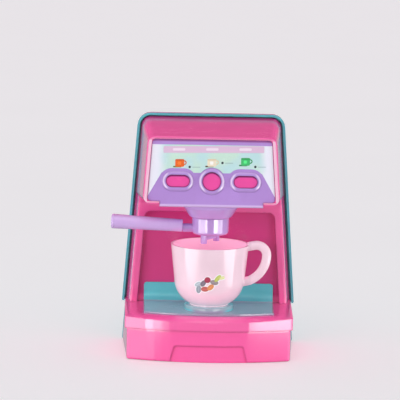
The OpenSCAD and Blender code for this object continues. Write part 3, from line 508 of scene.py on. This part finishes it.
# ---- Studio ----
def floor_material():
    """Pale, and lifted a little where the camera sees it."""
    g = Graph("pale_floor")
    at = g.place()
    tone = g.noise(at, 0.4, 3.0)
    base = g.mix(tone, (0.84, 0.83, 0.84, 1), (0.88, 0.87, 0.88, 1))
    normal = g.node("ShaderNodeBump", {}, {
        "Strength": 0.3, "Distance": MM, "Height": g.noise(at, 0.002) * 0.1})
    seen_first = g.node("ShaderNodeLightPath", {}, {}, "Is Camera Ray")
    lift = g.mix(seen_first, (0, 0, 0, 1), (1, 1, 1, 1))
    surface = g.node("ShaderNodeBsdfPrincipled", {}, {
        "Base Color": base, "Roughness": 0.75, "Specular IOR Level": 0.2, "Normal": normal,
        "Emission Color": lift, "Emission Strength": 0.30})
    g.node("ShaderNodeOutputMaterial", {}, {"Surface": surface})
    return g.material


bpy.ops.mesh.primitive_plane_add(size=60.0, location=(0, 2.0, 0))
floor = bpy.context.object
floor.name = "floor"
floor.data.materials.append(floor_material())
floor.visible_glossy = False


def softbox(name, azimuth, elevation, size_x, size_y, power, mirrored):
    """A flat lamp that faces the machine, with its angles in degrees, sizes in metres and power in
    watts. Azimuth 0 is at the camera and 90 to its right.

    It either shows only in gloss, where mirrored is true, or gives only its plain light."""
    lamp = bpy.data.lights.new(name, "AREA")
    lamp.shape = "RECTANGLE"
    lamp.size, lamp.size_y = size_x, size_y
    lamp.energy = power
    box = bpy.data.objects.new(name, lamp)
    bpy.context.scene.collection.objects.link(box)
    a, e = math.radians(azimuth), math.radians(elevation)
    out = Vector((math.sin(a) * math.cos(e), -math.cos(a) * math.cos(e), math.sin(e)))
    box.location = MIDDLE + out * BOX_DISTANCE
    box.rotation_mode = "QUATERNION"
    box.rotation_quaternion = out.to_track_quat("Z", "Y")
    box.visible_glossy = mirrored
    box.visible_diffuse = not mirrored
    return box


MIDDLE = Vector((0.0, 0.0, 0.11))
BOX_DISTANCE = 1.2
# Their order: azimuth, elevation, width, height, power, mirrored
boxes = [
    softbox("left_light", -62, -5, 1.70, 1.0, 22.0, False),
    softbox("right_light", 70, -5, 1.35, 1.0, 18.0, False),
    softbox("back_light", 180, 8, 1.60, 1.2, 13.0, False),
    softbox("left_softbox", -62, -5, 1.70, 1.0, 7.0, True),
    softbox("right_softbox", 70, -5, 1.35, 1.0, 5.7, True),
    # Bright strips at the height that upright walls mirror
    softbox("left_strip", -53, -16, 1.20, 0.25, 2.7, True),
    softbox("right_strip", 61, -16, 0.80, 0.25, 1.7, True),
    softbox("left_card", -24, -12, 0.18, 0.16, 0.45, True),
    softbox("right_card", 32, -12, 0.46, 0.16, 1.6, True),
]
# The boxes stand so near that they would burn out the floor beside them, so it goes without them
unlit = bpy.data.collections.new("not_lit_by_boxes")
unlit.objects.link(floor)
unlit.collection_objects[0].light_linking.link_state = "EXCLUDE"
for box in boxes:
    box.light_linking.receiver_collection = unlit

sun = bpy.data.lights.new("high_sun", "SUN")
sun.energy = 0.4
sun.angle = math.radians(50)
high_sun = bpy.data.objects.new("high_sun", sun)
scene = bpy.context.scene
scene.collection.objects.link(high_sun)
high_sun.rotation_euler = (math.radians(32), 0.0, math.radians(-8))

world = bpy.data.worlds.new("studio_air")
world.use_nodes = True
air = world.node_tree
air.nodes.clear()
path = air.nodes.new("ShaderNodeLightPath")


def background(colour, strength):
    made = air.nodes.new("ShaderNodeBackground")
    made.inputs["Color"].default_value = colour
    made.inputs["Strength"].default_value = strength
    return made


def choose(ray, usual, special):
    """Shows one background to a kind of ray, and the usual one to the rest."""
    made = air.nodes.new("ShaderNodeMixShader")
    air.links.new(path.outputs[ray], made.inputs[0])
    air.links.new(usual.outputs[0], made.inputs[1])
    air.links.new(special.outputs[0], made.inputs[2])
    return made


# Gloss on the roof and the tray picks up a pink wall that stands behind the machine
mirrored = background((0.5, 0.5, 0.5, 1), 1.0)
toward = air.nodes.new("ShaderNodeTexCoord")
split = air.nodes.new("ShaderNodeSeparateXYZ")
behind = air.nodes.new("ShaderNodeMapRange")
behind.inputs["From Min"].default_value, behind.inputs["From Max"].default_value = -0.1, 0.4
above = air.nodes.new("ShaderNodeMapRange")
above.inputs["From Min"].default_value, above.inputs["From Max"].default_value = 0.0, 0.1
wall = air.nodes.new("ShaderNodeMath")
wall.operation = "MULTIPLY"
tint = air.nodes.new("ShaderNodeMix")
tint.data_type = "RGBA"
tint.inputs[6].default_value = (0.42, 0.42, 0.45, 1)
tint.inputs[7].default_value = (0.70, 0.17, 0.33, 1)
air.links.new(toward.outputs["Generated"], split.inputs[0])
air.links.new(split.outputs["Y"], behind.inputs["Value"])
air.links.new(split.outputs["Z"], above.inputs["Value"])
air.links.new(behind.outputs[0], wall.inputs[0])
air.links.new(above.outputs[0], wall.inputs[1])
air.links.new(wall.outputs[0], tint.inputs[0])
air.links.new(tint.outputs[2], mirrored.inputs["Color"])

around = choose("Is Glossy Ray", background((0.96, 0.96, 1.0, 1), 0.49), mirrored)
around = choose("Is Camera Ray", around, background((0.93, 0.92, 0.94, 1), 1.0))
air.links.new(around.outputs[0], air.nodes.new("ShaderNodeOutputWorld").inputs[0])
scene.world = world

scene.view_settings.view_transform = "Standard"


# ---- Camera, set out for a picture 400 pixels wide and high ----
PICTURE = 400.0
FOCAL = 1700.0 / 0.96        # focal length in pixels
DISTANCE = 1.7
ELEVATION, AZIMUTH, ROLL = (math.radians(a) for a in (8.0, 0.67, 1.12))
TARGET = Vector((0.0, 0.0, 0.1105))
TARGET_U, TARGET_V = 9.86, -38.0   # where the target lies, right of and above the middle

ahead = Vector((math.sin(AZIMUTH) * math.cos(ELEVATION), math.cos(AZIMUTH) * math.cos(ELEVATION),
                -math.sin(ELEVATION)))
right = Vector((math.cos(AZIMUTH), -math.sin(AZIMUTH), 0.0))
up = right.cross(ahead)
eye = TARGET - ahead * DISTANCE - (right * TARGET_U + up * TARGET_V) * (DISTANCE / FOCAL)
c, s = math.cos(ROLL), math.sin(ROLL)
rolled_right = right * c + up * s
rolled_up = up * c - right * s
camera_data = bpy.data.cameras.new("camera")
camera_data.sensor_fit = "HORIZONTAL"
camera_data.sensor_width = 36.0
camera_data.lens = FOCAL / PICTURE * camera_data.sensor_width
camera_data.shift_x = -(TARGET_U - TARGET_U * c - TARGET_V * s) / PICTURE
camera_data.shift_y = -(TARGET_V + TARGET_U * s - TARGET_V * c) / PICTURE
camera_data.clip_start, camera_data.clip_end = 0.05, 50.0
camera = bpy.data.objects.new("camera", camera_data)
scene.collection.objects.link(camera)
camera.matrix_world = Matrix((
    (rolled_right.x, rolled_up.x, -ahead.x, eye.x),
    (rolled_right.y, rolled_up.y, -ahead.y, eye.y),
    (rolled_right.z, rolled_up.z, -ahead.z, eye.z),
    (0.0, 0.0, 0.0, 1.0)))
scene.camera = camera
